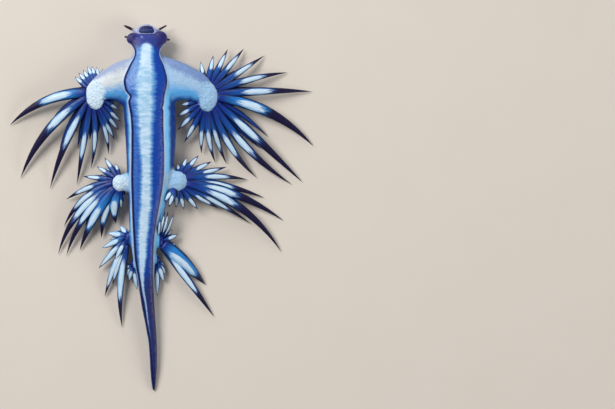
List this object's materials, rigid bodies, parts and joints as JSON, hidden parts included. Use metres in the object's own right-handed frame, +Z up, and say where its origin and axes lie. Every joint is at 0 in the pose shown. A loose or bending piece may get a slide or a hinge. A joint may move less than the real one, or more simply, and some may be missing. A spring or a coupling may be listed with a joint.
{
  "type": "blue dragon sea slug",
  "caption": "Still, life-size model of a blue dragon sea slug lying sole up, its fans of finger-like cerata spread out on the floor.",
  "frame": {"origin": "on the floor, in the middle of the flat that the torso rests on", "axes": "+Y from the tail to the head, +Z up from the floor towards the upturned sole, +X towards the picture's right as the picture shows it"},
  "size_m": [0.0305, 0.0367, 0.0039],
  "materials": {
    "head": "wet, dark navy with whitish patches",
    "feeler": "wet, whitish at the root and brown-black at the tip",
    "sole": "wet, deep blue with a pale feathered stripe down the middle",
    "back": "wet, silvery pale blue",
    "tail": "wet, dark indigo",
    "cerata": "wet, ultramarine with pale cyan lozenges and dark tips"
  },
  "bodies": {
    "root": {"head": "head", "oral_tentacle_left": "feeler", "oral_tentacle_right": "feeler", "rhinophore_left": "feeler", "rhinophore_right": "feeler", "neck": "back", "torso_front": "back", "torso_middle": "back", "torso_rear": "back", "arm_left": "back", "arm_right": "back", "sole_front": "sole", "sole_middle": "sole", "sole_rear": "sole", "tail_base": "tail", "tail_middle": "tail", "tail_tip": "tail", "cerata_front_left": "cerata", "cerata_front_right": "cerata", "cerata_middle_left": "cerata", "cerata_middle_right": "cerata", "cerata_rear_left": "cerata", "cerata_rear_right": "cerata", "cerata_tail_left": "cerata", "cerata_tail_right": "cerata"}
  },
  "joints": []
}
